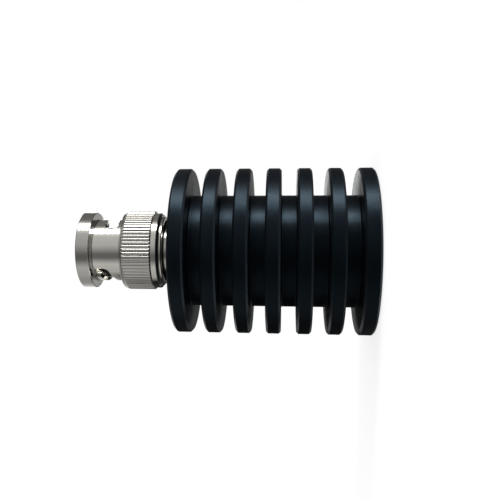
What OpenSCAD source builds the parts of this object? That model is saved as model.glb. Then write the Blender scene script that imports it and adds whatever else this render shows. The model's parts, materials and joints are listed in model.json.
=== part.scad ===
// RF dummy load: a film resistor in a finned heat sink, with a bayonet plug.
// Millimetres. The load stands on the rear face of its heat sink, plug up, with the axis along +Z.

/* [Heat sink] */
// Diameter of the cooling fins
fin_d = 30; // [26:0.5:40]
// Number of fins, the two end fins included
fin_count = 7; // [6:1:12]
// Thickness of each inner fin
fin_t = 2.6; // [1.6:0.1:5]
// Thickness of the front and rear end fins
end_fin_t = 2.75; // [1.6:0.05:5]
// Width of the groove between two fins
groove_w = 2.75; // [1.6:0.05:5]
// Diameter of the core at the bottom of the grooves
core_d = 20.2; // [14:0.1:24]
// Chamfer on the rim of every fin
fin_edge = 0.36; // [0.1:0.02:0.6]
// Radius left by the tool at the bottom corners of a groove
groove_root = 0.25; // [0.1:0.05:0.6]

/* [Resistor] */
// Diameter of the ceramic rod
rod_d = 2.8; // [2:0.1:3]
// Length of the ceramic rod
rod_len = 9.7; // [6:0.1:12]
// Wall of the metal caps on the rod
cap_wall = 0.25; // [0.15:0.05:0.4]
// End thickness of the metal caps
cap_end_t = 0.3; // [0.2:0.05:0.6]
// Depth to which a cap covers the rod
cap_grip = 2.2; // [1:0.1:3]
// Diameter of the lead on the front cap
lead_d = 0.9; // [0.5:0.05:1.2]
// Length of the lead on the front cap
lead_len = 2.2; // [1.5:0.1:3]
// Radial room that the sleeve leaves to the spigot's thread
sleeve_room = 0.4; // [0.2:0.05:0.8]
// Length of the tapered sleeve
sleeve_len = 14; // [12:0.1:18]
// Wall of the tapered sleeve at its open front end
taper_mouth_wall = 0.4; // [0.2:0.05:0.8]
// Length of the straight seat for the rear cap
cap_seat_len = 3; // [2.5:0.1:5]
// Height of the spring washer behind the sleeve
sleeve_spring_h = 0.8; // [0.5:0.05:1.5]
// Sheet thickness of the spring washer behind the sleeve
sleeve_spring_t = 0.3; // [0.15:0.05:0.4]

/* [Plug body] */
// Wall of the spigot that screws into the heat sink
spigot_wall = 1; // [0.6:0.05:1.4]
// Length of the spigot that screws into the heat sink
spigot_len = 8; // [6:0.1:10]
// Wall of the neck round the seat of the outer contact
neck_wall = 0.65; // [0.4:0.05:0.7]
// Length of the neck, from the heat sink to the flange
neck_len = 7.4; // [6.6:0.1:10]
// How far the flange reaches under the nut's shoulder
flange_catch = 0.7; // [0.4:0.05:1.2]
// Thickness of the flange
flange_t = 1.4; // [0.8:0.1:2]
// Step from the bore of the outer contact down to the bore for the beads
bead_step = 0.5; // [0.2:0.05:0.8]
// Depth of the seat for the outer contact
contact_seat_len = 3; // [1.5:0.1:4]

/* [Contacts] */
// Outside diameter of the outer contact
contact_d = 8.1; // [8:0.05:8.2]
// Wall of the outer contact
contact_wall = 0.55; // [0.4:0.05:0.7]
// Step from the outer contact down to its seat
contact_seat_step = 0.1; // [0.05:0.05:0.3]
// Length of the outer contact in front of the flange
contact_len = 7; // [6.4:0.1:7.6]
// Number of spring slots in the outer contact
contact_slots = 4; // [2:2:8]
// Width of a spring slot
contact_slot_w = 0.4; // [0.2:0.05:0.8]
// Solid foot of the outer contact between the gasket and the slots
contact_foot = 1.3; // [0.5:0.1:3]
// Diameter of the centre pin where it is exposed
pin_d = 1.35; // [1.3:0.01:1.4]
// Step from the exposed pin to its shank inside the beads
pin_shank_step = 0.22; // [0.1:0.02:0.4]
// Step from the shank to the split socket at the rear of the pin
socket_step = 0.3; // [0.2:0.05:0.6]
// How far the pin stays behind the tip of the outer contact
pin_recess = 0.3; // [0.1:0.1:1]
// Length of the pointed tip of the pin
pin_tip_len = 0.9; // [0.5:0.1:1.5]
// Height of the gasket
gasket_h = 0.9; // [0.5:0.1:1.2]
// Step from the outer contact to the land that the gasket sits on
gasket_land_step = 0.2; // [0.1:0.05:0.4]

/* [Insulators] */
// How far the front bead stays behind the tip of the outer contact
bead_recess = 5.1; // [4.5:0.1:5.6]
// Length of the front bead behind the seat of the outer contact
front_bead_tail = 3.1; // [1:0.1:5]
// Length of the rear bead
rear_bead_len = 3; // [1.5:0.1:5]
// Wall of the spacer tube and of the bush
spacer_wall = 0.9; // [0.4:0.05:1.2]
// Length of the bush in the end of the spigot
bush_len = 2; // [1:0.1:3]

/* [Coupling nut] */
// Height of the knurl above the collar
knurl_rise = 0.3; // [0.2:0.05:0.8]
// Number of serrations round the knurl
knurl_count = 70; // [40:2:90]
// Depth of a serration
knurl_depth = 0.26; // [0.1:0.02:0.4]
// Share of each serration's pitch that is flat land
knurl_land = 0.58; // [0.3:0.02:0.8]
// Length of the taper at the front end of the knurl
knurl_lead_len = 0.8; // [0.2:0.05:1.2]
// How far the front taper of the knurl falls
knurl_lead = 0.32; // [0.1:0.02:0.6]
// Wall of the smooth collar behind the knurl
collar_wall = 1.15; // [0.8:0.05:2]
// Length of the smooth collar
collar_len = 1.4; // [0.8:0.1:2.5]
// Chamfer at the rear edge of the collar
collar_chamfer = 0.4; // [0.1:0.05:0.6]
// Wall of the barrel that has the slots
barrel_wall = 0.78; // [0.5:0.02:1]
// Height of the front ring above the barrel
ring_rise = 1.32; // [0.8:0.01:2]
// Length of the front ring
ring_len = 2.45; // [1.8:0.05:4]
// Chamfer at the front edge of the front ring
ring_edge = 0.15; // [0.05:0.05:0.4]
// Chamfer at the rear edge of the front ring
ring_chamfer = 0.3; // [0.1:0.05:0.6]
// Fillet between the front ring and the barrel
ring_root = 0.3; // [0.1:0.05:0.5]
// Radial room for the mating shell, between the outer contact and the nut
shell_room = 0.85; // [0.8:0.05:1]
// Length of the bore at the mouth
nut_bore_len = 9; // [8.6:0.1:11]
// Lead-in chamfer at the mouth
mouth_chamfer = 0.3; // [0.1:0.05:0.6]
// Thickness of the inner shoulder that bears on the flange
shoulder_t = 1.05; // [0.6:0.05:2]

/* [Bayonet slots] */
// Width of a slot, along the axis
slot_w = 2.2; // [2.1:0.05:2.5]
// Depth of the entry groove past the outside of the barrel
slot_over = 0.13; // [0.05:0.02:0.4]
// Turn from the entry groove to the detent, in degrees
slot_turn = 77; // [50:1:90]
// How far the slot draws the nut forward over its turn
slot_drop = 1.4; // [1:0.1:2]
// How much the detent is wider than the slot
detent_over = 0.25; // [0:0.05:0.3]
// Metal between the detent and the shoulder of the nut
detent_wall = 0.86; // [0.3:0.02:1.2]
// Angle of the first entry groove about the axis, in degrees
slot_entry_angle = -139; // [-180:1:180]

/* [Washers and retaining ring] */
// Free travel of the nut, which the wave washers take up
nut_travel = 0.8; // [0.4:0.1:1]
// Wave that a washer keeps at the end of the travel
wave_reserve = 0.24; // [0.1:0.02:0.5]
// Sheet thickness of a wave washer
wave_t = 0.2; // [0.1:0.02:0.3]
// Number of waves round a washer
wave_count = 4; // [2:2:6]
// Thickness of the thrust washer
thrust_t = 0.5; // [0.3:0.1:1]
// Length of the retaining ring inside the nut
retainer_len = 2.35; // [1:0.05:4]
// How far the retaining ring's flange stands out past the cavity
retainer_lip = 0.45; // [0.3:0.05:0.6]
// Thickness of the retaining ring's flange
retainer_flange_t = 0.45; // [0.3:0.05:1]
// Chamfer at the rear edge of the retaining ring's flange
retainer_chamfer = 0.15; // [0.05:0.05:0.2]
// Width of the rim round the recess in the retaining ring's rear face
retainer_rim = 0.7; // [0.6:0.05:1]
// Depth of the recess in the retaining ring's rear face
retainer_recess = 0.8; // [0.2:0.1:1]

/* [Fits] */
// Radial gap between the nut's pieces and the plug body's
running_gap = 0.2; // [0.1:0.05:0.3]
// Gap between the nut's shoulder and the flange at rest
seat_gap = 0.05; // [0.02:0.01:0.1]
// Gap between the split socket and the front cap
socket_gap = 0.3; // [0.1:0.1:0.6]
// Gap between the two wave washers
wave_gap = 0.02; // [0.01:0.01:0.05]
// Edge break on the turned pieces
edge_break = 0.15; // [0.05:0.05:0.2]

/* [Hidden] */
$fn = 96;

anodised_black = [0.05, 0.05, 0.06];
nickel_plate = [0.76, 0.75, 0.71];
gold_plate = [0.83, 0.66, 0.30];
silver_plate = [0.80, 0.80, 0.80];
bare_brass = [0.78, 0.63, 0.34];
spring_steel = [0.60, 0.61, 0.63];
white_bead = [0.93, 0.93, 0.91];
gasket_rubber = [0.45, 0.13, 0.09];
film_ceramic = [0.22, 0.26, 0.24];

// Diameters of the plug, each one built on the piece inside it or round it
contact_bore_d = contact_d - 2 * contact_wall;
contact_seat_d = contact_d - 2 * contact_seat_step;
gasket_land_d = contact_d + 2 * gasket_land_step;
bead_d = contact_bore_d - 2 * bead_step;
air_bore_d = bead_d - 2 * spacer_wall;
spigot_d = bead_d + 2 * spigot_wall;
sleeve_d = spigot_d - 2 * sleeve_room;
taper_mouth_d = sleeve_d - 2 * taper_mouth_wall;
cap_d = rod_d + 2 * cap_wall;
pin_shank_d = pin_d + 2 * pin_shank_step;
socket_d = pin_shank_d + 2 * socket_step;
neck_d = contact_seat_d + 2 * neck_wall;
nut_bore_d = contact_d + 2 * shell_room;
gasket_d = nut_bore_d - 2 * running_gap;
flange_d = nut_bore_d + 2 * flange_catch;
running_bore_d = neck_d + 2 * running_gap;
cavity_d = flange_d + 2 * running_gap;
collar_d = cavity_d + 2 * collar_wall;
knurl_d = collar_d + 2 * knurl_rise;
barrel_d = nut_bore_d + 2 * barrel_wall;
ring_d = barrel_d + 2 * ring_rise;
slot_floor_r = barrel_d / 2 + slot_over;
detent_d = slot_w + detent_over;
retainer_flange_d = cavity_d + 2 * retainer_lip;

// Height of one wave washer at rest
wave_h = wave_t + nut_travel / 2 + wave_reserve;

// Heights from the rear face up, in the order of assembly
sink_len = fin_low(fin_count - 1) + end_fin_t;
spigot_low = sink_len - spigot_len;
sleeve_low = spigot_low - sleeve_len;
bore_floor = sleeve_low - sleeve_spring_h;
rod_low = sleeve_low + cap_end_t;
rod_high = rod_low + rod_len;
front_cap_high = rod_high + cap_end_t;
socket_low = front_cap_high + socket_gap;
bush_high = spigot_low + bush_len;
rear_bead_high = bush_high + rear_bead_len;
flange_low = sink_len + neck_len;
flange_high = flange_low + flange_t;
contact_low = flange_high - contact_seat_len;
front_bead_low = contact_low - front_bead_tail;
contact_high = flange_high + contact_len;
front_bead_high = contact_high - bead_recess;
pin_high = contact_high - pin_recess;
gasket_high = flange_high + gasket_h;

// Heights of the washers and of the nut, from the flange down and then up
wave_joint = flange_low - wave_h;
thrust_high = wave_joint - wave_gap - wave_h;
thrust_low = thrust_high - thrust_t;
nut_low = thrust_low - retainer_len;
shoulder_low = flange_high + seat_gap;
barrel_low = shoulder_low + shoulder_t;
knurl_low = nut_low + collar_len;
nut_high = shoulder_low + nut_bore_len;
ring_low = nut_high - ring_len;
detent_z = barrel_low + detent_wall + detent_d / 2;
slot_entry_z = detent_z + slot_drop;
retainer_low = nut_low - retainer_flange_t;

// Cutters run this far past a face
past = 0.5;
// Steps along a slot's ramp, round the end of a slot, and round one wave of a washer
ramp_steps = 16;
cutter_steps = 15;
wave_steps = 16;
// How far a slot's ramp runs into its entry groove, in degrees
ramp_overrun = 2;
// Steps of a small round corner
corner_steps = 5;
// Width of the slit that splits the pin's socket, and the diameter of the pin's blunt tip
slit_w = 0.3;
pin_point_d = 0.6;

function fin_low(i) = i == 0 ? 0 : end_fin_t + (i - 1) * fin_t + i * groove_w;
function fin_high(i) = fin_low(i) + (i == 0 || i == fin_count - 1 ? end_fin_t : fin_t);
function round_corner(x, z, r, from, to) =
    [for (k = [0:corner_steps])
        let (a = from + (to - from) * k / corner_steps)
        [x + r * cos(a), z + r * sin(a)]];

// Right-hand outline of one fin, from its lower groove corner to its upper one
function fin_outline(i) =
    let (
        low = fin_low(i),
        high = fin_high(i),
        root_x = core_d / 2 + groove_root
    )
    concat(
        i == 0 ? [] : round_corner(root_x, low - groove_root, groove_root, 180, 90),
        [
            [fin_d / 2 - fin_edge, low],
            [fin_d / 2, low + fin_edge],
            [fin_d / 2, high - fin_edge],
            [fin_d / 2 - fin_edge, high]
        ],
        i == fin_count - 1 ? [] : round_corner(root_x, high + groove_root, groove_root, 270, 180)
    );

// A ring or cylinder between two heights, with an optional bore
module tube(d, bore, low, high) {
    difference() {
        translate([0, 0, low])
            cylinder(d = d, h = high - low);
        if (bore > 0)
            translate([0, 0, low - past])
                cylinder(d = bore, h = high - low + 2 * past);
    }
}

// A solid through four-cornered sections, closed into a ring or capped at its ends
module band(sections, closed) {
    n = len(sections);
    steps = closed ? n : n - 1;
    sides = [
        for (i = [0:steps - 1], k = [0:3])
            let (
                here = 4 * i,
                there = 4 * ((i + 1) % n),
                next = (k + 1) % 4
            )
            each [
                [here + k, here + next, there + next],
                [here + k, there + next, there + k]
            ]
    ];
    ends = closed ? [] : [[3, 2, 1, 0], [4 * n - 4, 4 * n - 3, 4 * n - 2, 4 * n - 1]];
    polyhedron(points = [for (s = sections) each s], faces = concat(sides, ends));
}

// Four corners of a band's section at one angle
function section(angle, inner, outer, low, high) =
    [for (p = [[inner, low], [outer, low], [outer, high], [inner, high]])
        [p[0] * cos(angle), p[0] * sin(angle), p[1]]];

module heat_sink() {
    color(anodised_black)
        difference() {
            rotate_extrude()
                polygon(concat(
                    [[0, 0]],
                    [for (i = [0:fin_count - 1]) each fin_outline(i)],
                    [[0, sink_len]]
                ));
            translate([0, 0, spigot_low])
                cylinder(d = spigot_d, h = spigot_len + past);
            translate([0, 0, bore_floor])
                cylinder(d = sleeve_d, h = spigot_low - bore_floor + past);
        }
}

module plug_body() {
    color(nickel_plate)
        rotate_extrude()
            polygon([
                [bead_d / 2, spigot_low],
                [spigot_d / 2 - edge_break, spigot_low],
                [spigot_d / 2, spigot_low + edge_break],
                [spigot_d / 2, sink_len],
                [neck_d / 2, sink_len],
                [neck_d / 2, flange_low],
                [flange_d / 2, flange_low],
                [flange_d / 2, flange_high - edge_break],
                [flange_d / 2 - edge_break, flange_high],
                [contact_seat_d / 2, flange_high],
                [contact_seat_d / 2, contact_low],
                [bead_d / 2, contact_low]
            ]);
}

module outer_contact() {
    color(nickel_plate)
        difference() {
            rotate_extrude()
                polygon([
                    [contact_bore_d / 2, contact_low],
                    [contact_seat_d / 2, contact_low],
                    [contact_seat_d / 2, flange_high],
                    [gasket_land_d / 2, flange_high],
                    [gasket_land_d / 2, gasket_high],
                    [contact_d / 2, gasket_high],
                    [contact_d / 2, contact_high - 2 * edge_break],
                    [contact_d / 2 - edge_break, contact_high],
                    [contact_bore_d / 2, contact_high]
                ]);
            for (i = [0:contact_slots - 1])
                rotate([0, 0, 360 * (i + 0.5) / contact_slots])
                    translate([0, -contact_slot_w / 2, gasket_high + contact_foot])
                        cube([contact_d, contact_slot_w, contact_high - gasket_high]);
        }
}

module front_gasket() {
    color(gasket_rubber)
        tube(gasket_d, gasket_land_d, flange_high, gasket_high);
}

module front_insulator() {
    color(white_bead)
        rotate_extrude()
            polygon([
                [pin_shank_d / 2, front_bead_low],
                [bead_d / 2, front_bead_low],
                [bead_d / 2, contact_low],
                [contact_bore_d / 2, contact_low],
                [contact_bore_d / 2, front_bead_high],
                [pin_shank_d / 2, front_bead_high]
            ]);
}

module rear_insulator() {
    color(white_bead)
        tube(bead_d, pin_shank_d, bush_high, rear_bead_high);
}

module spacer_tube() {
    color(bare_brass)
        tube(bead_d, air_bore_d, rear_bead_high, front_bead_low);
}

module insulator_bush() {
    color(bare_brass)
        tube(bead_d, air_bore_d, spigot_low, bush_high);
}

module centre_pin() {
    hole_high = front_cap_high + lead_len;
    color(gold_plate)
        difference() {
            rotate_extrude()
                polygon([
                    [0, socket_low],
                    [socket_d / 2, socket_low],
                    [socket_d / 2, bush_high],
                    [pin_shank_d / 2, bush_high],
                    [pin_shank_d / 2, front_bead_high],
                    [pin_d / 2, front_bead_high],
                    [pin_d / 2, pin_high - pin_tip_len],
                    [pin_point_d / 2, pin_high - edge_break],
                    [pin_point_d / 2 - edge_break, pin_high],
                    [0, pin_high]
                ]);
            translate([0, 0, socket_low - past])
                cylinder(d = lead_d, h = hole_high - socket_low + past);
            translate([-socket_d, -slit_w / 2, socket_low - past])
                cube([2 * socket_d, slit_w, hole_high - socket_low + past]);
        }
}

module resistor_rod() {
    color(film_ceramic)
        tube(rod_d, 0, rod_low, rod_high);
}

// A cup that covers one end of the rod, open upwards
module rod_cup(low) {
    difference() {
        translate([0, 0, low])
            cylinder(d = cap_d, h = cap_grip + cap_end_t);
        translate([0, 0, low + cap_end_t])
            cylinder(d = rod_d, h = cap_grip + past);
    }
}

module resistor_front_cap() {
    color(silver_plate) {
        translate([0, 0, front_cap_high])
            mirror([0, 0, 1])
                rod_cup(0);
        translate([0, 0, front_cap_high])
            cylinder(d = lead_d, h = lead_len);
    }
}

module resistor_rear_cap() {
    color(silver_plate)
        rod_cup(sleeve_low);
}

module taper_sleeve() {
    color(bare_brass)
        rotate_extrude()
            polygon([
                [cap_d / 2, sleeve_low],
                [sleeve_d / 2, sleeve_low],
                [sleeve_d / 2, spigot_low],
                [taper_mouth_d / 2, spigot_low],
                [cap_d / 2, sleeve_low + cap_seat_len]
            ]);
}

module sleeve_spring() {
    inner = cap_d / 2 + running_gap;
    outer = sleeve_d / 2 - running_gap;
    color(spring_steel)
        rotate_extrude()
            polygon([
                [inner, sleeve_low - sleeve_spring_t],
                [inner, sleeve_low],
                [outer, bore_floor + sleeve_spring_t],
                [outer, bore_floor]
            ]);
}

// A sheet ring with waves, whose middle lies at the given height
module wave_washer(middle, swing) {
    n = wave_count * wave_steps;
    band(
        [for (i = [0:n - 1])
            let (
                angle = 360 * i / n,
                z = middle + swing * cos(wave_count * angle)
            )
            section(angle, running_bore_d / 2, flange_d / 2, z - wave_t / 2, z + wave_t / 2)],
        true
    );
}

module front_wave_washer() {
    color(spring_steel)
        wave_washer(flange_low - wave_h / 2, (wave_h - wave_t) / 2);
}

module rear_wave_washer() {
    color(spring_steel)
        wave_washer(thrust_high + wave_h / 2, (wave_t - wave_h) / 2);
}

module thrust_washer() {
    color(spring_steel)
        tube(flange_d, running_bore_d, thrust_low, thrust_high);
}

// Outline of the knurl: V grooves between lands, drawn just outside the blank so that the lands stay round
module knurl_outline() {
    pitch = 360 / knurl_count;
    lift = knurl_depth / 4;
    opening = pitch * (1 - knurl_land) * (knurl_depth + lift) / knurl_depth;
    polygon([
        for (i = [0:knurl_count - 1], p = [
            [i * pitch, knurl_d / 2 - knurl_depth],
            [i * pitch + opening / 2, knurl_d / 2 + lift],
            [(i + 1) * pitch - opening / 2, knurl_d / 2 + lift]
        ])
            [p[1] * cos(p[0]), p[1] * sin(p[0])]
    ]);
}

// The nut's turned form, before knurling and slotting
module nut_blank() {
    rotate_extrude()
        polygon(concat(
            [
                [cavity_d / 2, nut_low],
                [collar_d / 2 - collar_chamfer, nut_low],
                [collar_d / 2, nut_low + collar_chamfer],
                [collar_d / 2, knurl_low],
                [knurl_d / 2 - edge_break, knurl_low],
                [knurl_d / 2, knurl_low + edge_break],
                [knurl_d / 2, barrel_low - knurl_lead_len],
                [knurl_d / 2 - knurl_lead, barrel_low],
                [barrel_d / 2, barrel_low]
            ],
            round_corner(barrel_d / 2 + ring_root, ring_low - ring_root, ring_root, 180, 90),
            [
                [ring_d / 2 - ring_chamfer, ring_low],
                [ring_d / 2, ring_low + ring_chamfer],
                [ring_d / 2, nut_high - ring_edge],
                [ring_d / 2 - ring_edge, nut_high],
                [nut_bore_d / 2 + mouth_chamfer, nut_high],
                [nut_bore_d / 2, nut_high - mouth_chamfer],
                [nut_bore_d / 2, shoulder_low],
                [cavity_d / 2, shoulder_low]
            ]
        ));
}

// One bayonet slot as a milling cutter leaves it: entry groove with a round end, ramp and round detent
module bayonet_slot(entry_angle) {
    inner = nut_bore_d / 2 - past;
    depth = slot_floor_r - inner;
    detent_angle = entry_angle - slot_turn;
    groove_len = nut_high - slot_entry_z + past;
    rotate([0, 0, entry_angle])
        translate([inner, 0, slot_entry_z])
            rotate([90, 0, 90])
                linear_extrude(depth)
                    polygon(concat(
                        [[slot_w / 2, groove_len], [-slot_w / 2, groove_len]],
                        [for (k = [0:cutter_steps])
                            let (a = 180 + 180 * k / cutter_steps)
                            [slot_w / 2 * cos(a), slot_w / 2 * sin(a)]]
                    ));
    band(
        [for (k = [0:ramp_steps])
            let (
                swept = slot_turn - (slot_turn + ramp_overrun) * k / ramp_steps,
                z = detent_z + slot_drop * pow(1 - swept / slot_turn, 2)
            )
            section(entry_angle - swept, inner, slot_floor_r, z - slot_w / 2, z + slot_w / 2)],
        false
    );
    rotate([0, 0, detent_angle])
        translate([inner, 0, detent_z])
            rotate([0, 90, 0])
                cylinder(d = detent_d, h = depth);
}

module coupling_nut() {
    knurl_top = barrel_low + past;
    color(nickel_plate)
        difference() {
            nut_blank();
            difference() {
                tube(knurl_d + 2 * past, 0, knurl_low, barrel_low);
                translate([0, 0, knurl_low - past])
                    linear_extrude(knurl_top - knurl_low + past)
                        knurl_outline();
            }
            for (half_turn = [0, 180])
                bayonet_slot(slot_entry_angle + half_turn);
        }
}

module retaining_ring() {
    recess_r = retainer_flange_d / 2 - retainer_rim;
    recess_high = retainer_low + retainer_recess;
    color(nickel_plate)
        rotate_extrude()
            polygon([
                [running_bore_d / 2, recess_high],
                [recess_r, recess_high],
                [recess_r, retainer_low],
                [retainer_flange_d / 2 - retainer_chamfer, retainer_low],
                [retainer_flange_d / 2, retainer_low + retainer_chamfer],
                [retainer_flange_d / 2, nut_low],
                [cavity_d / 2, nut_low],
                [cavity_d / 2, thrust_low],
                [running_bore_d / 2, thrust_low]
            ]);
}

heat_sink();
plug_body();
outer_contact();
front_gasket();
front_insulator();
rear_insulator();
spacer_tube();
insulator_bush();
centre_pin();
resistor_rod();
resistor_front_cap();
resistor_rear_cap();
taper_sleeve();
sleeve_spring();
front_wave_washer();
rear_wave_washer();
thrust_washer();
coupling_nut();
retaining_ring();
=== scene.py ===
# RF dummy load: a film resistor in a finned heat sink, with a bayonet coaxial plug.
# The load stands on the rear face of its heat sink, plug up, with the common axis along +Z.

import json
import math

import bmesh
import bpy
from mathutils import Matrix, Vector


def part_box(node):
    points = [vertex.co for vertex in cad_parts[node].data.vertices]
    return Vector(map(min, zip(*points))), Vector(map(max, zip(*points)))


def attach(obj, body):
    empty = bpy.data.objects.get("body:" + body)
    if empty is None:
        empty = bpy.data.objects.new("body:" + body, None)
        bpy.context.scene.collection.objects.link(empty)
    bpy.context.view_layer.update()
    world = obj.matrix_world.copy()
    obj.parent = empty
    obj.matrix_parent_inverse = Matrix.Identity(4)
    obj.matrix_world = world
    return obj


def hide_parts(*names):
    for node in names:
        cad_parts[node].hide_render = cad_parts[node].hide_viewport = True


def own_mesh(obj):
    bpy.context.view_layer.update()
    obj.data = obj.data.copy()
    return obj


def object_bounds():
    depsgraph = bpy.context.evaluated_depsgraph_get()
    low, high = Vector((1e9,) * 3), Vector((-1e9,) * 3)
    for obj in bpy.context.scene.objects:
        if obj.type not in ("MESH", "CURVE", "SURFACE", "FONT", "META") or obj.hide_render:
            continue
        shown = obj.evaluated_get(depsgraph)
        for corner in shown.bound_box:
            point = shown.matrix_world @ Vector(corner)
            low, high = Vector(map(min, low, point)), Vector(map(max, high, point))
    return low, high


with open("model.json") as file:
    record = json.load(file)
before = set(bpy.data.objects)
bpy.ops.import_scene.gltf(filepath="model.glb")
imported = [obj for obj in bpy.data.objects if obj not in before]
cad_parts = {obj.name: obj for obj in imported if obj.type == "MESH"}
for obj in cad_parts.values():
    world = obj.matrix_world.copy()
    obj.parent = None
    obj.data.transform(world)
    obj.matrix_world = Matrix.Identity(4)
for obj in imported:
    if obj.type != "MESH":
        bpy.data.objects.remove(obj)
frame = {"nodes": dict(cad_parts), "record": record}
cad_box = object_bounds()

# Heat sink
# One aluminium bar, grooved on a lathe into seven disc fins, bored from the front and black anodised.
# The grooving tool leaves fine rings on every face, and the chamfered rims are a little paler.

mm = 0.001
body_names = {
    node: body for body, members in frame["record"]["behaviour"]["bodies"].items() for node in members
}


def reach(node):
    """Outer radius, lowest and highest height of a CAD node, in millimetres."""
    low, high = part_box(node)
    return high.x / mm, low.z / mm, high.z / mm


def soften(corners, steps=3):
    """Closed outline of (radius, height, rounding) corners, in millimetres, as (point, normal) pairs.

    The outline runs with its solid on the left, and every corner becomes a small arc."""
    outline = []
    for i, (radius, height, rounding) in enumerate(corners):
        here = Vector((radius, height))
        before = Vector(corners[i - 1][:2])
        after = Vector(corners[(i + 1) % len(corners)][:2])
        arriving = (here - before).normalized()
        leaving = (after - here).normalized()
        facing = Vector((arriving.y, -arriving.x))
        if radius == 0:
            solid_side = arriving if before.x > 0 else leaving
            outline.append((here, Vector((solid_side.y, -solid_side.x))))
            continue
        turn = math.atan2(arriving.cross(leaving), arriving.dot(leaving))
        if abs(turn) < 0.01:
            outline.append((here, facing))
            continue
        side = math.copysign(1, turn)
        start = here - arriving * rounding * math.tan(abs(turn) / 2)
        centre = start - facing * rounding * side
        for k in range(steps + 1):
            normal = Matrix.Rotation(turn * k / steps, 2) @ facing
            outline.append((centre + normal * rounding * side, normal))
    return outline


def plain_columns(count):
    """Evenly spaced angles round the axis, each with no groove."""
    return [(2 * math.pi * j / count, 0.0) for j in range(count)]


def turned(name, outline, columns, shape=None):
    """A piece turned about the axis from a soft outline.

    shape(radius, height, angle, groove) may move a point."""
    points, normals, rings = [], [], []
    for (radius, height), (out, up) in outline:
        if radius == 0:
            rings.append([len(points)] * len(columns))
            points.append((0, 0, height * mm))
            normals.append((0, 0, math.copysign(1, up)))
            continue
        rings.append(range(len(points), len(points) + len(columns)))
        for angle, groove in columns:
            r, z = shape(radius, height, angle, groove) if shape else (radius, height)
            points.append((r * mm * math.cos(angle), r * mm * math.sin(angle), z * mm))
            normals.append((out * math.cos(angle), out * math.sin(angle), up))
    faces = []
    for near, far in zip(rings, rings[1:] + rings[:1]):
        if near[0] == near[1] and far[0] == far[1]:
            continue
        for j in range(len(columns)):
            k = (j + 1) % len(columns)
            faces.append(tuple(dict.fromkeys((near[j], near[k], far[k], far[j]))))
    mesh = bpy.data.meshes.new(name)
    mesh.from_pydata(points, [], faces)
    mesh.shade_smooth()
    if shape is None:
        mesh.normals_split_custom_set_from_vertices(normals)
    piece = bpy.data.objects.new(name, mesh)
    bpy.context.scene.collection.objects.link(piece)
    return piece


def seat(piece, finish, node):
    """The piece takes the place, the body and the material slot of a CAD node, in the given finish."""
    piece.data.materials.clear()
    piece.data.materials.append(finish)
    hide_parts(node)
    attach(piece, body_names[node])


def wire(tree, kind, sockets=None, **settings):
    """A shader node with its settings, each socket set to a value or linked to another node's output."""
    node = tree.nodes.new(kind)
    for key, value in settings.items():
        setattr(node, key, value)
    for key, value in (sockets or {}).items():
        if isinstance(value, bpy.types.NodeSocket):
            tree.links.new(value, node.inputs[key])
        else:
            node.inputs[key].default_value = value
    return node


def reckon(tree, operation, first, second=0.0):
    return wire(tree, "ShaderNodeMath", {0: first, 1: second}, operation=operation).outputs[0]


def spread(tree, value, low, high, start=0.0, end=1.0):
    """The value's range from start to end, stretched to run from low to high."""
    sockets = {"Value": value, "From Min": start, "From Max": end, "To Min": low, "To Max": high}
    return wire(tree, "ShaderNodeMapRange", sockets).outputs["Result"]


def tint(tree, share, first, second):
    """A colour between two colours."""
    mixed = wire(tree, "ShaderNodeMix", {0: share, 6: (*first, 1), 7: (*second, 1)}, data_type="RGBA")
    return mixed.outputs[2]


def effect(name, inputs, output):
    """A node group with number inputs and one number output, and its input and output nodes."""
    group = bpy.data.node_groups.new(name, "ShaderNodeTree")
    for label, value in inputs.items():
        socket = group.interface.new_socket(label, in_out="INPUT", socket_type="NodeSocketFloat")
        socket.default_value = value
    group.interface.new_socket(output, in_out="OUTPUT", socket_type="NodeSocketFloat")
    return group, wire(group, "NodeGroupInput"), wire(group, "NodeGroupOutput")


def across(tree):
    """Distance from the axis, direction round it and height, at each point of a surface."""
    place = wire(tree, "ShaderNodeTexCoord").outputs["Object"]
    split = wire(tree, "ShaderNodeSeparateXYZ", {0: place})
    flat = wire(tree, "ShaderNodeCombineXYZ", {0: split.outputs[0], 1: split.outputs[1]}).outputs[0]
    radius = wire(tree, "ShaderNodeVectorMath", {0: flat}, operation="LENGTH").outputs["Value"]
    round_it = wire(tree, "ShaderNodeVectorMath", {0: flat}, operation="NORMALIZE").outputs["Vector"]
    return radius, wire(tree, "ShaderNodeSeparateXYZ", {0: round_it}), split.outputs[2]


# Rings that a lathe tool leaves: they run round the axis on walls and faces alike,
# and change slowly on the way round
lathe_rings, lathe_in, lathe_out = effect("lathe_rings", {"Pitch mm": 0.2, "Change": 1.0}, "Ring")
radius, direction, height = across(lathe_rings)
pitch = reckon(lathe_rings, "MULTIPLY", lathe_in.outputs["Pitch mm"], mm)
step = reckon(lathe_rings, "DIVIDE", reckon(lathe_rings, "ADD", radius, height), pitch)
change = [reckon(lathe_rings, "MULTIPLY", direction.outputs[k], lathe_in.outputs["Change"]) for k in (0, 1)]
path = wire(lathe_rings, "ShaderNodeCombineXYZ", {0: step, 1: change[0], 2: change[1]}).outputs[0]
ring_sockets = {"Vector": path, "Scale": 1, "Detail": 3, "Roughness": 0.6}
ring_noise = wire(lathe_rings, "ShaderNodeTexNoise", ring_sockets)
lathe_rings.links.new(ring_noise.outputs[0], lathe_out.inputs["Ring"])


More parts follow.
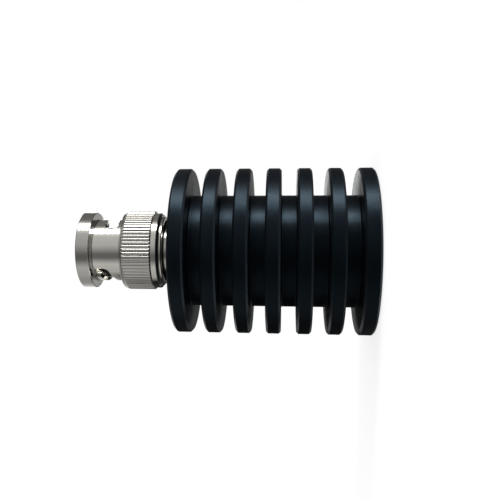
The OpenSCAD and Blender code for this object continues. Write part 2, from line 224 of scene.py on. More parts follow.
def speckle(name, detail, distortion):
    """A node group for an even noise of a given grain size."""
    group, given, out = effect(name, {"Size mm": 0.2}, "Grain")
    place = wire(group, "ShaderNodeTexCoord").outputs["Object"]
    scale = reckon(group, "DIVIDE", 1 / mm, given.outputs["Size mm"])
    sockets = {"Vector": place, "Scale": scale, "Detail": detail, "Distortion": distortion}
    noise = wire(group, "ShaderNodeTexNoise", sockets)
    group.links.new(spread(group, noise.outputs[0], 0, 1, 0.3, 0.7), out.inputs["Grain"])
    return group


fine_grain = speckle("fine_grain", detail=2, distortion=0.0)
handling_marks = speckle("handling_marks", detail=5, distortion=0.8)


def place_effect(tree, group, **values):
    """An effect's output in a material, with its own values."""
    node = wire(tree, "ShaderNodeGroup", node_tree=group)
    for label, value in values.items():
        node.inputs[label.replace("_", " ")].default_value = value
    return node.outputs[0]


def bare_finish(name):
    """A new material, its node tree and its shader."""
    finish = bpy.data.materials.new(name)
    finish.use_nodes = True
    return finish, finish.node_tree, finish.node_tree.nodes["Principled BSDF"]


def relief(tree, skin, height, depth_mm):
    """Bumps of a given depth on a shader."""
    bump = wire(tree, "ShaderNodeBump", {"Height": height, "Distance": depth_mm * mm})
    tree.links.new(bump.outputs[0], skin.inputs["Normal"])


sink_r, sink_low, sink_high = reach("heat_sink")
fin_count = 7
fin_t = 2.6
end_fin_t = 2.75
groove_w = (sink_high - 2 * end_fin_t - (fin_count - 2) * fin_t) / (fin_count - 1)
fin_edge = 0.36
core_r = 10.1
groove_root = 0.25
rim_round = 0.08
spigot_r = 4.0
sleeve_r = 3.6
spigot_low = reach("plug_body")[1]
bore_floor = reach("sleeve_spring")[1]


def black_anodise():
    """Satin anodise: near-black with a blue sheen, speckled, ringed by the tool, paler on the chamfers."""
    finish, tree, skin = bare_finish("satin_black_anodise")
    rings = place_effect(tree, lathe_rings, Pitch_mm=0.4, Change=1.5)
    grain = place_effect(tree, fine_grain, Size_mm=0.3)
    marks = place_effect(tree, handling_marks, Size_mm=5.0)
    radius = across(tree)[0]
    chamfer_low, chamfer_high = (sink_r - 0.9 * fin_edge) * mm, (sink_r - 0.1 * fin_edge) * mm
    inside = spread(tree, radius, 0, 1, chamfer_low - 0.1 * fin_edge * mm, chamfer_low)
    outside = spread(tree, radius, 1, 0, chamfer_high, chamfer_high + 0.08 * fin_edge * mm)
    chamfer_band = reckon(tree, "MULTIPLY", inside, outside)
    dye = tint(tree, grain, (0.0008, 0.0012, 0.0018), (0.0022, 0.0032, 0.0046))
    dye_and_chamfer_band = wire(tree, "ShaderNodeMix", {0: chamfer_band, 6: dye, 7: (0.003, 0.004, 0.005, 1)}, data_type="RGBA")
    tree.links.new(dye_and_chamfer_band.outputs[2], skin.inputs["Base Color"])
    mottle = reckon(tree, "ADD", reckon(tree, "MULTIPLY", rings, 0.6), reckon(tree, "MULTIPLY", marks, 0.4))
    tree.links.new(spread(tree, mottle, 0.24, 0.46), skin.inputs["Roughness"])
    skin.inputs["Specular IOR Level"].default_value = 0.29
    skin.inputs["Specular Tint"].default_value = (0.48, 0.76, 1.0, 1)
    relief(tree, skin, reckon(tree, "ADD", rings, reckon(tree, "MULTIPLY", grain, 0.5)), 0.012)
    return finish


rim = [(0, sink_low, 0)]
for i in range(fin_count):
    t = end_fin_t if i in (0, fin_count - 1) else fin_t
    low = 0 if i == 0 else end_fin_t + (i - 1) * fin_t + i * groove_w
    if i > 0:
        rim.append((core_r, low, groove_root))
    rim += [
        (sink_r - fin_edge, low, rim_round),
        (sink_r, low + fin_edge, rim_round),
        (sink_r, low + t - fin_edge, rim_round),
        (sink_r - fin_edge, low + t, rim_round),
    ]
    if i < fin_count - 1:
        rim.append((core_r, low + t, groove_root))
rim += [
    (spigot_r, sink_high, rim_round),
    (spigot_r, spigot_low, rim_round),
    (sleeve_r, spigot_low, rim_round),
    (sleeve_r, bore_floor, rim_round),
    (0, bore_floor, 0),
]
seat(turned("finned_heat_sink", soften(rim), plain_columns(256)), black_anodise(), "heat_sink")

# Resistor
# A ceramic rod with a dark resistive film and a pressed silver-plated cap on each end.
# It sits in the heat sink's bore, in a turned brass sleeve that tapers round it.


def metal(name, bright, dull, rough, pitch, depth):
    """A metal or a plating: two close tints, mottled by handling, with faint lathe rings."""
    finish, tree, skin = bare_finish(name)
    rings = place_effect(tree, lathe_rings, Pitch_mm=pitch, Change=0.8)
    marks = place_effect(tree, handling_marks, Size_mm=3.0)
    tree.links.new(tint(tree, marks, bright, dull), skin.inputs["Base Color"])
    mottle = reckon(tree, "ADD", reckon(tree, "MULTIPLY", rings, 0.5), reckon(tree, "MULTIPLY", marks, 0.5))
    tree.links.new(spread(tree, mottle, rough[0], rough[1]), skin.inputs["Roughness"])
    skin.inputs["Metallic"].default_value = 1
    relief(tree, skin, rings, depth)
    return finish


def film_ceramic():
    """Resistive film, trimmed by a fine spiral that shows the pale ceramic."""
    finish, tree, skin = bare_finish("film_on_ceramic")
    grain = place_effect(tree, fine_grain, Size_mm=0.15)
    rings = place_effect(tree, lathe_rings, Pitch_mm=0.4, Change=0.2)
    trimmed = spread(tree, rings, 0, 1, 0.62, 0.66)
    film = tint(tree, grain, (0.09, 0.12, 0.11), (0.14, 0.17, 0.15))
    coat = wire(tree, "ShaderNodeMix", {0: trimmed, 6: film, 7: (0.55, 0.53, 0.48, 1)}, data_type="RGBA")
    tree.links.new(coat.outputs[2], skin.inputs["Base Color"])
    tree.links.new(spread(tree, grain, 0.3, 0.5), skin.inputs["Roughness"])
    relief(tree, skin, trimmed, -0.02)
    return finish


def dress(finish, *names):
    """CAD nodes that keep their own shape get a finish."""
    for name in names:
        frame["nodes"][name].material_slots[0].material = finish


turned_brass = metal("turned_brass", (0.74, 0.55, 0.25), (0.64, 0.45, 0.19), (0.2, 0.36), 0.12, 0.004)
silver_plate = metal("silver_plate_on_brass", (0.84, 0.84, 0.83), (0.74, 0.73, 0.7), (0.18, 0.32), 0.1, 0.003)
spring_steel = metal("blued_spring_steel", (0.52, 0.52, 0.55), (0.42, 0.42, 0.47), (0.24, 0.4), 0.1, 0.003)
dress(film_ceramic(), "resistor_rod")
dress(silver_plate, "resistor_front_cap", "resistor_rear_cap")
dress(turned_brass, "taper_sleeve")
dress(spring_steel, "sleeve_spring")

# Plug body
# Turned brass, nickel plated: a spigot that screws into the heat sink, and a flange that the nut bears on.
# Its neck is the short bright length that shows between the nut and the heat sink.

dull_nickel = metal("dull_nickel_plate", (0.66, 0.65, 0.61), (0.6, 0.59, 0.55), (0.12, 0.22), 0.09, 0.0015)
flange_r, _, flange_high = reach("plug_body")
_, contact_low, contact_high = reach("outer_contact")
_, _, wave_high = reach("front_wave_washer")
flange_low = wave_high
neck_r = 4.6
bead_r = 3.0
contact_seat_r = 3.95
edge_break = 0.15
small_round = 0.05
body_outline = [
    (bead_r, spigot_low, small_round),
    (spigot_r - edge_break, spigot_low, small_round),
    (spigot_r, spigot_low + edge_break, small_round),
    (spigot_r, sink_high, small_round),
    (neck_r, sink_high, small_round),
    (neck_r, flange_low, small_round),
    (flange_r, flange_low, small_round),
    (flange_r, flange_high - edge_break, small_round),
    (flange_r - edge_break, flange_high, small_round),
    (contact_seat_r, flange_high, small_round),
    (contact_seat_r, contact_low, small_round),
    (bead_r, contact_low, small_round),
]
seat(turned("nickel_plug_body", soften(body_outline), plain_columns(192)), dull_nickel, "plug_body")

# Beads, spacer and bush
# Two turned white fluoropolymer beads hold the centre pin on the axis, with a brass tube between them.
# A brass bush pressed into the end of the spigot keeps the stack in.


def white_bead():
    """Waxy white plastic with faint tool rings."""
    finish, tree, skin = bare_finish("white_fluoropolymer")
    rings = place_effect(tree, lathe_rings, Pitch_mm=0.12, Change=0.6)
    marks = place_effect(tree, handling_marks, Size_mm=1.5)
    tree.links.new(tint(tree, marks, (0.9, 0.9, 0.88), (0.84, 0.84, 0.81)), skin.inputs["Base Color"])
    tree.links.new(spread(tree, rings, 0.36, 0.52), skin.inputs["Roughness"])
    relief(tree, skin, rings, 0.004)
    return finish


white_plastic = white_bead()
bead_front_r, bead_low, bead_high = reach("front_insulator")
pin_shank_r = 0.895
bead_outline = [
    (pin_shank_r, bead_low, small_round),
    (bead_r, bead_low, small_round),
    (bead_r, contact_low, small_round),
    (bead_front_r, contact_low, small_round),
    (bead_front_r, bead_high, 2 * small_round),
    (pin_shank_r, bead_high, small_round),
]
seat(turned("white_front_bead", soften(bead_outline), plain_columns(128)), white_plastic, "front_insulator")
dress(white_plastic, "rear_insulator")
dress(turned_brass, "spacer_tube", "insulator_bush")

# Centre pin
# Gold-plated brass with a blunt point, held by the beads.
# Its rear end is a drilled and split socket that grips the resistor's lead.


def block(name, low, high, turn=0.0):
    """A box between two corners in millimetres, turned about the axis, used as a saw."""
    mesh = bpy.data.meshes.new(name)
    form = bmesh.new()
    bmesh.ops.create_cube(form, size=1)
    size = [b - a for a, b in zip(low, high)]
    middle = [(a + b) / 2 for a, b in zip(low, high)]
    shift = Matrix.Translation(middle) @ Matrix.Diagonal((*size, 1))
    form.transform(Matrix.Scale(mm, 4) @ Matrix.Rotation(turn, 4, "Z") @ shift)
    form.to_mesh(mesh)
    form.free()
    saw = bpy.data.objects.new(name, mesh)
    bpy.context.scene.collection.objects.link(saw)
    return saw


def held(outline, long=0.9, inset=0.05):
    """The outline with a point near both ends of each long straight, so that its shading stays true."""
    points = []
    for (here, facing), (after, _) in zip(outline, outline[1:] + outline[:1]):
        points.append((here, facing))
        way = after - here
        if way.length > long and here.x > 0 and after.x > 0:
            step = way.normalized() * inset
            outward = Vector((step.y, -step.x)).normalized()
            points += [(here + step, outward), (after - step, outward)]
    return points


def carve(piece, cutters, crease=32):
    """Cuts the cutters out of a piece, removes them, and shades the piece with creases at its sharp edges."""
    for cutter in cutters:
        cut = piece.modifiers.new(cutter.name, "BOOLEAN")
        cut.operation = "DIFFERENCE"
        cut.solver = "EXACT"
        cut.object = cutter
    carved = bpy.data.meshes.new_from_object(piece.evaluated_get(bpy.context.evaluated_depsgraph_get()))
    piece.modifiers.clear()
    piece.data = carved
    for cutter in cutters:
        bpy.data.objects.remove(cutter)
    carved.shade_smooth()
    carved.set_sharp_from_angle(angle=math.radians(crease))
    carved.name = piece.name
    return piece


def unmoved(radius, height, angle, groove):
    """Leaves a turned piece as it is, with shading that is worked out after it is cut."""
    return radius, height


gold_plate = metal("gold_plate_on_brass", (0.88, 0.64, 0.24), (0.8, 0.55, 0.18), (0.14, 0.26), 0.08, 0.002)
socket_r, socket_low, pin_high = reach("centre_pin")
socket_high = reach("rear_insulator")[1]
pin_r = 0.675
pin_tip_len = 0.9
pin_point_r = 0.3
lead_r = 0.45
slit_w = 0.3
pin_round = 0.03
pin_tip_round = 0.3
pin_point_round = 0.12
saw_over = 1
lead_high = reach("resistor_front_cap")[2]
pin_outline = [
    (lead_r, socket_low, pin_round),
    (socket_r, socket_low, small_round),
    (socket_r, socket_high, small_round),
    (pin_shank_r, socket_high, pin_round),
    (pin_shank_r, bead_high, pin_round),
    (pin_r, bead_high, pin_round),
    (pin_r, pin_high - pin_tip_len, pin_tip_round),
    (pin_point_r, pin_high, pin_point_round),
    (0, pin_high, 0),
    (0, lead_high, 0),
    (lead_r, lead_high, pin_round),
]
pin = turned("gold_centre_pin", held(soften(pin_outline)), plain_columns(64), unmoved)
slit = block(
    "slit",
    (-2 * socket_r, -slit_w / 2, socket_low - saw_over),
    (2 * socket_r, slit_w / 2, lead_high),
)
seat(carve(pin, [slit]), gold_plate, "centre_pin")

# Outer contact
# A spring-bronze sleeve, nickel plated and sawn into four fingers, pressed into the plug body.
# Its glint shows through the bayonet slots.


def wear_and_painted_shade(finish, place, colour, rough):
    """A darker, rougher coat over part of a finish, used as a duller plating and as painted shade;
    place(tree) gives its share at each point.
    """
    tree = finish.node_tree
    skin = tree.nodes["Principled BSDF"]
    share = place(tree)
    clean = skin.inputs["Base Color"].links[0].from_socket
    darkened = wire(tree, "ShaderNodeMix", {0: share, 6: clean, 7: (*colour, 1)}, data_type="RGBA")
    tree.links.new(darkened.outputs[2], skin.inputs["Base Color"])
    smooth = skin.inputs["Roughness"].links[0].from_socket
    rougher = wire(tree, "ShaderNodeMix", {0: share, 2: smooth, 3: rough})
    tree.links.new(rougher.outputs[0], skin.inputs["Roughness"])


contact_r = 4.05
contact_bore_r = 3.5
gasket_high = reach("front_gasket")[2]
gasket_land_r = 4.25
contact_foot = 1.3
contact_slot_w = 0.4
contact_slots = 4
contact_outline = [
    (contact_bore_r, contact_low, small_round),
    (contact_seat_r, contact_low, small_round),
    (contact_seat_r, flange_high, small_round),
    (gasket_land_r, flange_high, small_round),
    (gasket_land_r, gasket_high, small_round),
    (contact_r, gasket_high, small_round),
    (contact_r, contact_high - 2 * edge_break, 2 * small_round),
    (contact_r - edge_break, contact_high, small_round),
    (contact_bore_r, contact_high, small_round),
]


def behind_tip_painted_shade(tree):
    """All of the contact but its rubbed tip, darkened near black as painted shade where it sits inside the
    nut.
    """
    return spread(tree, across(tree)[2], 0.95, 0, (contact_high - 1.6) * mm, (contact_high - 1.0) * mm)


contact_plate = metal(
    "nickelled_spring_bronze", (0.75, 0.72, 0.66), (0.68, 0.65, 0.58), (0.14, 0.26), 0.08, 0.002
)
# Painted shade: the contact is near black inside the nut, all but its tip
wear_and_painted_shade(contact_plate, behind_tip_painted_shade, (0.035, 0.033, 0.03), 0.5)
contact = turned("slotted_outer_contact", held(soften(contact_outline)), plain_columns(160), unmoved)
saws = [
    block(
        "saw",
        (-2 * contact_r, -contact_slot_w / 2, gasket_high + contact_foot),
        (2 * contact_r, contact_slot_w / 2, contact_high + saw_over),
        2 * math.pi * (i + 0.5) / contact_slots,
    )
    for i in range(contact_slots // 2)
]
seat(carve(contact, saws), contact_plate, "outer_contact")

# Front gasket
# A moulded silicone-rubber ring round the foot of the outer contact.
# The mating shell presses on its front face and seals there.


def red_rubber():
    """Matt rubber with a fine moulded grain."""
    finish, tree, skin = bare_finish("red_silicone_rubber")
    grain = place_effect(tree, fine_grain, Size_mm=0.08)
    marks = place_effect(tree, handling_marks, Size_mm=1.2)
    tree.links.new(tint(tree, marks, (0.3, 0.06, 0.04), (0.22, 0.035, 0.025)), skin.inputs["Base Color"])
    tree.links.new(spread(tree, grain, 0.55, 0.75), skin.inputs["Roughness"])
    relief(tree, skin, grain, 0.006)
    return finish


gasket_r = reach("front_gasket")[0]
gasket_round = 0.15
gasket_inner_round = 0.1
gasket_outline = [
    (gasket_land_r, flange_high, gasket_inner_round),
    (gasket_r, flange_high, gasket_round),
    (gasket_r, gasket_high, gasket_round),
    (gasket_land_r, gasket_high, gasket_inner_round),
]
seat(turned("rubber_gasket", soften(gasket_outline, 4), plain_columns(128)), red_rubber(), "front_gasket")

# Spring washers
# Two wavy washers of blued spring steel and a flat one, threaded on the neck behind the flange.
# They pull the nut back; the real ones flatten as it is pushed forward, and these keep their rest shape.

wave_count = 4
wave_t = 0.2
wave_inner_r = 4.8
wave_edge = 0.04
for name, node, phase in (("front_wave", "front_wave_washer", 1), ("rear_wave", "rear_wave_washer", -1)):
    wave_outer_r, wave_low, wave_top = reach(node)
    swing = phase * (wave_top - wave_low - wave_t) / 2
    middle = (wave_low + wave_top) / 2
    sheet_outline = [
        (wave_inner_r, middle - wave_t / 2, wave_edge),
        (wave_outer_r, middle - wave_t / 2, wave_edge),
        (wave_outer_r, middle + wave_t / 2, wave_edge),
        (wave_inner_r, middle + wave_t / 2, wave_edge),
    ]

    def wavy(radius, height, angle, groove):
        return radius, height + swing * math.cos(wave_count * angle)

    washer = carve(turned(name, soften(sheet_outline), plain_columns(160), wavy), [])
    seat(washer, spring_steel, node)
    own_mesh(washer)
dress(spring_steel, "thrust_washer")

# Coupling nut
# Turned brass, nickel plated: a front ring, a barrel with two milled slots, and a grip with rolled ribs.
# It turns on the neck and draws the plug onto a jack's two lugs.

nut_r, nut_low, nut_high = reach("coupling_nut")
knurl_count = 70
knurl_depth = 0.17
knurl_lead = 0.32
knurl_lead_len = 0.8
collar_step = 0.3
collar_r = nut_r - collar_step
collar_len = 1.4
collar_chamfer = 0.4
collar_round = 0.12
grip_round = 0.1
retainer_lip = 0.45
cavity_r = reach("retaining_ring")[0] - retainer_lip
knurl_low = nut_low + collar_len
nut_bore_r = 4.9
flange_gap = 0.05
shoulder_t = 1.05
shoulder_low = flange_high + flange_gap
barrel_low = shoulder_low + shoulder_t
barrel_r = 5.68
barrel_root = 0.08
ring_r = 7.0
ring_len = 2.45
ring_low = nut_high - ring_len
ring_root = 0.1
ring_chamfer = 0.1
ring_edge = 0.15
ring_rear_round = 0.04
front_round = 0.06
mouth_chamfer = 0.3
taper_steps = 9
taper = [
    (nut_r - knurl_lead * k / taper_steps, barrel_low - knurl_lead_len * (1 - k / taper_steps), 0)
    for k in range(1, taper_steps)
]
nut_outline = [
    (cavity_r, nut_low, small_round),
    (collar_r - collar_chamfer, nut_low, grip_round),
    (collar_r, nut_low + collar_chamfer, collar_round),
    (collar_r, knurl_low, small_round),
    (nut_r - edge_break, knurl_low, small_round),
    (nut_r, knurl_low + edge_break, small_round),
    (nut_r, barrel_low - knurl_lead_len, grip_round),
    *taper,
    (nut_r - knurl_lead, barrel_low, small_round),
    (barrel_r, barrel_low, barrel_root),
    (barrel_r, ring_low, ring_root),
    (ring_r - ring_chamfer, ring_low, ring_rear_round),
    (ring_r, ring_low + ring_chamfer, ring_rear_round),
    (ring_r, nut_high - ring_edge, front_round),
    (ring_r - ring_edge, nut_high, front_round),
    (nut_bore_r + mouth_chamfer, nut_high, front_round),
    (nut_bore_r, nut_high - mouth_chamfer, front_round),
    (nut_bore_r, shoulder_low, small_round),
    (cavity_r, shoulder_low, small_round),
]

# One rib from the bottom of a groove to the next: share of the pitch, and share of the groove's depth
rib = [(0, 1.0), (0.05, 0.88), (0.15, 0.48), (0.23, 0.16), (0.31, 0.035), (0.38, 0.01), (0.5, 0.0)]
rib += [(1 - share, depth) for share, depth in rib[-2:0:-1]]
rib_columns = [
    (2 * math.pi * (i + share) / knurl_count, knurl_depth * depth)
    for i in range(knurl_count)
    for share, depth in rib
]


def ribbed(radius, height, angle, groove):
    """The grip's ribs, which run out through its front taper."""
    on_grip = radius > collar_r - knurl_lead and knurl_low - 0.01 < height < barrel_low + 0.01
    return (min(radius, nut_r - groove) if on_grip else radius), height


slot_w = 2.2
slot_turn = math.radians(77)
slot_drop = 1.4
slot_entry_angle = math.radians(-139)
slot_break = 0.07
cutter_over = 0.13
cutter_under = 0.6
cutter_top_r = barrel_r + cutter_over
detent_d = 2.45
detent_r = detent_d / 2
detent_gap = 0.86
detent_height = barrel_low + detent_gap + detent_r
entry_height = detent_height + slot_drop
ramp_len = slot_turn * barrel_r
arc_steps = 12
strip_w = 0.2


def slot_edge(wider):
    """The slot's edge, laid flat: down the entry, along the ramp, round the detent and back."""
    half = slot_w / 2 + wider
    round_r = detent_r + wider
    meet = math.asin(half / round_r)
    ramp_end = ramp_len - round_r * math.cos(meet)

    def ramp(along, side):
        return Vector((along, detent_height + slot_drop * (1 - along / ramp_len) ** 2 + side * half))

    edge = [Vector((-half, nut_high + saw_over))]
    for k in range(arc_steps + 1):
        a = math.pi * (1 + k / arc_steps / 2)
        edge.append(Vector((half * math.cos(a), entry_height + half * math.sin(a))))
    edge += [ramp(ramp_end * k / arc_steps, -1) for k in range(1, arc_steps)]
    for k in range(2 * arc_steps + 1):
        a = (math.pi - meet) * (k / arc_steps - 1)
        edge.append(Vector((ramp_len + round_r * math.cos(a), detent_height + round_r * math.sin(a))))
    edge += [ramp(half + (ramp_end - half) * (1 - k / arc_steps), 1) for k in range(1, arc_steps + 1)]
    edge.append(Vector((half, nut_high + saw_over)))
    return edge


def slot_cutter(entry_angle):
    """A milling cutter's path as a solid: made flat, sliced into strips, and bent round the axis."""
    form = bmesh.new()
    flare_low = barrel_r - slot_break
    levels = [(nut_bore_r - cutter_under, 0.0), (flare_low, 0.0), (cutter_top_r, cutter_top_r - flare_low)]
    loops = []
    for level, wider in levels:
        loops.append([form.verts.new((p.x, p.y, level)) for p in slot_edge(wider)])
    form.faces.new(reversed(loops[0]))
    form.faces.new(loops[-1])
    for lower, upper in zip(loops, loops[1:]):
        for j in range(len(lower)):
            k = (j + 1) % len(lower)
            form.faces.new((lower[j], lower[k], upper[k], upper[j]))
    at = -slot_w
    while at < ramp_len + slot_w:
        everything = form.verts[:] + form.edges[:] + form.faces[:]
        bmesh.ops.bisect_plane(form, geom=everything, plane_co=(at, 0, 0), plane_no=(1, 0, 0))
        at += strip_w
    for v in form.verts:
        angle = entry_angle - v.co.x / barrel_r
        v.co = (v.co.z * mm * math.cos(angle), v.co.z * mm * math.sin(angle), v.co.y * mm)
    bmesh.ops.recalc_face_normals(form, faces=form.faces[:])
    mesh = bpy.data.meshes.new("slot_cutter")
    form.to_mesh(mesh)
    form.free()
    cutter = bpy.data.objects.new("slot_cutter", mesh)
    bpy.context.scene.collection.objects.link(cutter)
    return cutter


def rubbed(tree):
    """The front ring and the grip, whose plating is rubbed dull."""
    height = across(tree)[2]
    ring = spread(tree, height, 0, 0.5, (ring_low - 0.05) * mm, (ring_low + 0.3) * mm)
    grip = spread(tree, height, 0.15, 0, (barrel_low - knurl_lead_len) * mm, (barrel_low - 0.5) * mm)
    off_collar = spread(tree, height, 0, 1, (knurl_low - 0.02) * mm, (knurl_low + 0.02) * mm)
    return reckon(tree, "MAXIMUM", ring, reckon(tree, "MULTIPLY", grip, off_collar))


def grooves_and_bore_shade(tree):
    """Painted shade, near black, in the bottoms of the grip's grooves and in the bore behind the front ring.
    """
    radius, _, height = across(tree)
    groove = spread(tree, radius, 1, 0, (nut_r - 0.95 * knurl_depth) * mm, (nut_r - 0.75 * knurl_depth) * mm)
    above = spread(tree, height, 0, 1, (knurl_low - 0.02) * mm, (knurl_low + 0.02) * mm)
    below = spread(tree, height, 1, 0, (barrel_low - 0.4) * mm, (barrel_low - 0.2) * mm)
    wall = spread(tree, radius, 1, 0, (nut_bore_r + 0.05) * mm, (nut_bore_r + 0.15) * mm)
    behind = spread(tree, height, 1, 0, (ring_low - 0.1) * mm, ring_low * mm)
    on_grip = reckon(tree, "MULTIPLY", groove, reckon(tree, "MULTIPLY", above, below))
    in_bore = reckon(tree, "MULTIPLY", wall, behind)
    return reckon(tree, "MULTIPLY", reckon(tree, "MAXIMUM", on_grip, in_bore), 0.9)


nickel_plate = metal("bright_nickel_plate", (0.74, 0.72, 0.67), (0.69, 0.67, 0.61), (0.07, 0.13), 0.09, 0.001)
wear_and_painted_shade(nickel_plate, rubbed, (0.46, 0.45, 0.43), 0.2)
# Near-black painted shade in the grip's groove bottoms and in the bore behind the front ring
wear_and_painted_shade(nickel_plate, grooves_and_bore_shade, (0.02, 0.022, 0.02), 0.5)
nut = turned("bayonet_coupling_nut", held(soften(nut_outline)), rib_columns, ribbed)
carve(nut, [slot_cutter(slot_entry_angle), slot_cutter(slot_entry_angle + math.pi)])
seat(nut, nickel_plate, "coupling_nut")

# Retaining ring
# A flanged ring of nickel-plated brass, pressed into the rear of the nut, with a recess in its rear face.
# It holds the washers in, and shows as a thin bright rim behind the grip.

retainer_r, retainer_low, retainer_high = reach("retaining_ring")
retainer_bore_r = 4.8
retainer_chamfer = 0.15
retainer_fit_round = 0.02
recess_rim = 0.7
recess_depth = 0.8
recess_r = retainer_r - recess_rim
recess_high = retainer_low + recess_depth


def recess(tree):
    """Painted shade in the recess and the bore."""
    return spread(tree, across(tree)[0], 0.8, 0, (recess_r + 0.02) * mm, (recess_r + 0.1) * mm)


ring_plate = metal("nickel_plate_on_ring", (0.74, 0.72, 0.67), (0.69, 0.67, 0.61), (0.12, 0.22), 0.09, 0.0015)
# Painted shade darkens the ring's recess and bore
wear_and_painted_shade(ring_plate, recess, (0.08, 0.08, 0.085), 0.4)
retainer_outline = [
    (retainer_bore_r, recess_high, small_round),
    (recess_r, recess_high, small_round),
    (recess_r, retainer_low, small_round),
    (retainer_r - retainer_chamfer, retainer_low, small_round),
    (retainer_r, retainer_low + retainer_chamfer, small_round),
    (retainer_r, nut_low, retainer_fit_round),
    (cavity_r, nut_low, retainer_fit_round),
    (cavity_r, retainer_high, small_round),
    (retainer_bore_r, retainer_high, small_round),
]
retainer = turned("pressed_retaining_ring", soften(retainer_outline), plain_columns(192))
seat(retainer, ring_plate, "retaining_ring")

# Floor and studio
# A white floor that keeps the load's soft shadow, and a reflector wall that only glossy surfaces see.
# Its plain cards stand above, in front, below and behind, with a dark gap round the camera.


def board(name, points, faces):
    """A flat or bent sheet of the studio."""
    mesh = bpy.data.meshes.new(name)
    mesh.from_pydata(points, [], faces)
    sheet = bpy.data.objects.new(name, mesh)
    bpy.context.scene.collection.objects.link(sheet)
    return sheet


floor_half = 2.0
floor_height = -0.05 * mm
floor_glow = 0.68
floor = board(
    "floor",
    [(x * floor_half, y * floor_half, floor_height) for x, y in ((-1, -1), (1, -1), (1, 1), (-1, 1))],
    [(0, 1, 2, 3)],
)
floor.visible_glossy = False
floor.visible_shadow = False
paint = bpy.data.materials.new("white_floor_paint")
paint.use_nodes = True
tree = paint.node_tree
matt = tree.nodes["Principled BSDF"]
matt.inputs["Roughness"].default_value = 0.9
matt.inputs["Specular IOR Level"].default_value = 0.0
grain = place_effect(tree, fine_grain, Size_mm=2.0)
tree.links.new(tint(tree, grain, (0.8, 0.8, 0.8), (0.78, 0.78, 0.78)), matt.inputs["Base Color"])
seen = wire(tree, "ShaderNodeLightPath").outputs["Is Camera Ray"]
matt.inputs["Emission Color"].default_value = (1, 1, 1, 1)
tree.links.new(reckon(tree, "MULTIPLY", seen, floor_glow), matt.inputs["Emission Strength"])
floor.data.materials.append(paint)

wall_r = 0.6
wall_low, wall_high = -0.5, 1.15
wall_sides = 180
wall_points = []
for j in range(wall_sides):
    angle = 2 * math.pi * j / wall_sides
    for height in (wall_low, wall_high):
        wall_points.append((wall_r * math.cos(angle), wall_r * math.sin(angle), height))
wall_faces = [
    (2 * j, 2 * j + 1, 2 * ((j + 1) % wall_sides) + 1, 2 * ((j + 1) % wall_sides)) for j in range(wall_sides)
]
wall = board("reflector_wall", wall_points, wall_faces)
wall.visible_camera = False
wall.visible_diffuse = False
wall.visible_shadow = False

# Cards of the wall: degrees from +X towards the camera, and brightness; each blends into the next
cards = [
    (-180, 0.45),
    (-150, 0.4),
    (-100, 0.95),
    (-75, 0.95),
    (-65, 0.15),
    (-10, 0.2),
    (5, 0.95),
    (25, 0.95),
    (40, 0.6),
    (75, 0.5),
    (105, 0.15),
    (120, 0.15),
    (145, 0.6),
    (170, 0.5),
]
card = bpy.data.materials.new("reflector_cards")
card.use_nodes = True
tree = card.node_tree
tree.nodes.clear()
place = wire(tree, "ShaderNodeSeparateXYZ", {0: wire(tree, "ShaderNodeTexCoord").outputs["Object"]})
across_view = reckon(tree, "MULTIPLY", place.outputs[1], -1.0)
turn = reckon(tree, "ARCTAN2", across_view, place.outputs[0])


def round_wall(stops):
    """Brightness round the wall, from the degrees and the brightness of each stop."""
    ramp = wire(tree, "ShaderNodeValToRGB", {0: spread(tree, turn, 0, 1, -math.pi, math.pi)})
    elements = ramp.color_ramp.elements
    while len(elements) < len(stops):
        elements.new(1.0)
    for element, (degrees, grey) in zip(elements, stops):
        element.position = (degrees + 180) / 360
        element.color = (grey, grey, grey, 1)
    return ramp.outputs[0]


# Painted shadow: a dark band on the wall behind the load and below it, standing for the load's shadow on the
# floor as the plating mirrors it, from its foot to its front ring and again at the bottom
painted_shadow_stops = [(-180, 0.0), (-160, 0.96), (-92, 0.96), (-89, 0.0)]
level = place.outputs[2]
over_foot = spread(tree, level, 0, 1, -0.105, -0.085)
under_ring = spread(tree, level, 1, 0, 0.185, 0.205)
lowest = spread(tree, level, 1, 0, -0.3, -0.22)
painted_shadow_height = reckon(tree, "MAXIMUM", reckon(tree, "MINIMUM", over_foot, under_ring), lowest)
out_of_painted_shadow = reckon(tree, "SUBTRACT", 1.0, reckon(tree, "MULTIPLY", round_wall(painted_shadow_stops), painted_shadow_height))
# The wall is dimmer level with the fins and high up, and has a pale card behind them
above_fins = spread(tree, level, 0.4, 1, 0.131, 0.138)
high_up = spread(tree, level, 1, 0.65, 0.3, 0.6)
dim = reckon(tree, "MINIMUM", above_fins, high_up)
card_from = spread(tree, turn, 0, 1, math.radians(-90), math.radians(-87))
card_to = spread(tree, turn, 1, 0, math.radians(-76), math.radians(-70))
card_width = reckon(tree, "MULTIPLY", card_from, card_to)
card_glow = reckon(tree, "MULTIPLY", card_width, spread(tree, level, 0, 1.8, -0.02, 0.03))
pale = reckon(tree, "ADD", 1.0, card_glow)
left = reckon(tree, "MULTIPLY", reckon(tree, "MULTIPLY", dim, pale), out_of_painted_shadow)
glow = wire(tree, "ShaderNodeEmission", {"Color": round_wall(cards), "Strength": left})
wire(tree, "ShaderNodeOutputMaterial", {"Surface": glow.outputs[0]})
wall.data.materials.append(card)

# Lamp and sky
# A long soft box above the load as the photograph shows it, and a sky that is white behind the load.
# The plating mirrors the sky as dark past the plug's end and as white past the rear end.

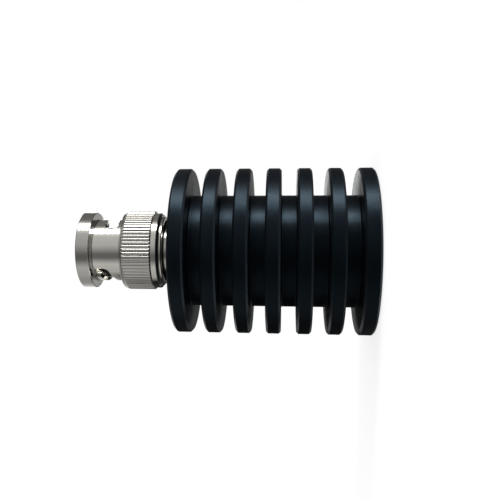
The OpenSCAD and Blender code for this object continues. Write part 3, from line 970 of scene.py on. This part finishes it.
middle = Vector((0, 0, (cad_box[0].z + cad_box[1].z) / 2))
key_away = 0.42
key_lean = math.radians(16)
key_w = 0.145
key_len = 0.4
key_radiance = 8.0
key_place = middle + key_away * Vector((math.cos(key_lean), -math.sin(key_lean), 0))
lamp = bpy.data.lights.new("key_soft_box", "AREA")
lamp.shape = "RECTANGLE"
lamp.size = key_w
lamp.size_y = key_len
lamp.energy = key_radiance * math.pi * key_w * key_len
soft_box = bpy.data.objects.new("key_soft_box", lamp)
soft_box.location = key_place
soft_box.rotation_euler = (middle - key_place).to_track_quat("-Z", "Y").to_euler()
bpy.context.scene.collection.objects.link(soft_box)

sky_fill = 0.4
sky_past_plug = 0.08
sky_turn = 0.6
sky = bpy.data.worlds.new("white_sky")
bpy.context.scene.world = sky
sky.use_nodes = True
tree = sky.node_tree
tree.nodes.clear()
ray = wire(tree, "ShaderNodeLightPath")
heading = wire(tree, "ShaderNodeSeparateXYZ", {0: wire(tree, "ShaderNodeTexCoord").outputs["Generated"]})
mirrored = spread(tree, heading.outputs[2], 1.0, sky_past_plug, -sky_turn, sky_turn)
lit = wire(tree, "ShaderNodeMix", {0: ray.outputs["Is Glossy Ray"], 2: sky_fill, 3: mirrored}).outputs[0]
shown = reckon(tree, "MAXIMUM", lit, ray.outputs["Is Camera Ray"])
air = wire(tree, "ShaderNodeBackground", {"Color": (1, 1, 1, 1), "Strength": shown})
wire(tree, "ShaderNodeOutputWorld", {"Surface": air.outputs[0]})
bpy.context.scene.view_settings.view_transform = "Standard"

# Camera
# It stands level with the load's axis, rolled so that the plug points left, and leans towards the plug.
# The load sits off the middle of the photograph, so the frame is shifted.

image_px = 500
sensor_mm = 36
focal_px = 683.4
camera_place = Vector((0, -125.5, 15.44)) * mm
lean = math.radians(6.675)
roll = math.radians(0.35)
optical_centre_px = (205.5, 250.5)
looking = Vector((0, math.cos(lean), math.sin(lean)))
up = Vector((1, 0, 0))
right = looking.cross(up)
rolled_right = right * math.cos(roll) + up * math.sin(roll)
rolled_up = up * math.cos(roll) - right * math.sin(roll)
lens = bpy.data.cameras.new("camera")
lens.sensor_width = sensor_mm
lens.lens = focal_px * sensor_mm / image_px
lens.shift_x = (image_px / 2 - optical_centre_px[0]) / image_px
lens.shift_y = (optical_centre_px[1] - image_px / 2) / image_px
lens.clip_start, lens.clip_end = 0.01, 10
camera = bpy.data.objects.new("camera", lens)
view_turn = Matrix((rolled_right, rolled_up, -looking)).transposed().to_4x4()
camera.matrix_world = Matrix.Translation(camera_place) @ view_turn
bpy.context.scene.collection.objects.link(camera)
bpy.context.scene.camera = camera
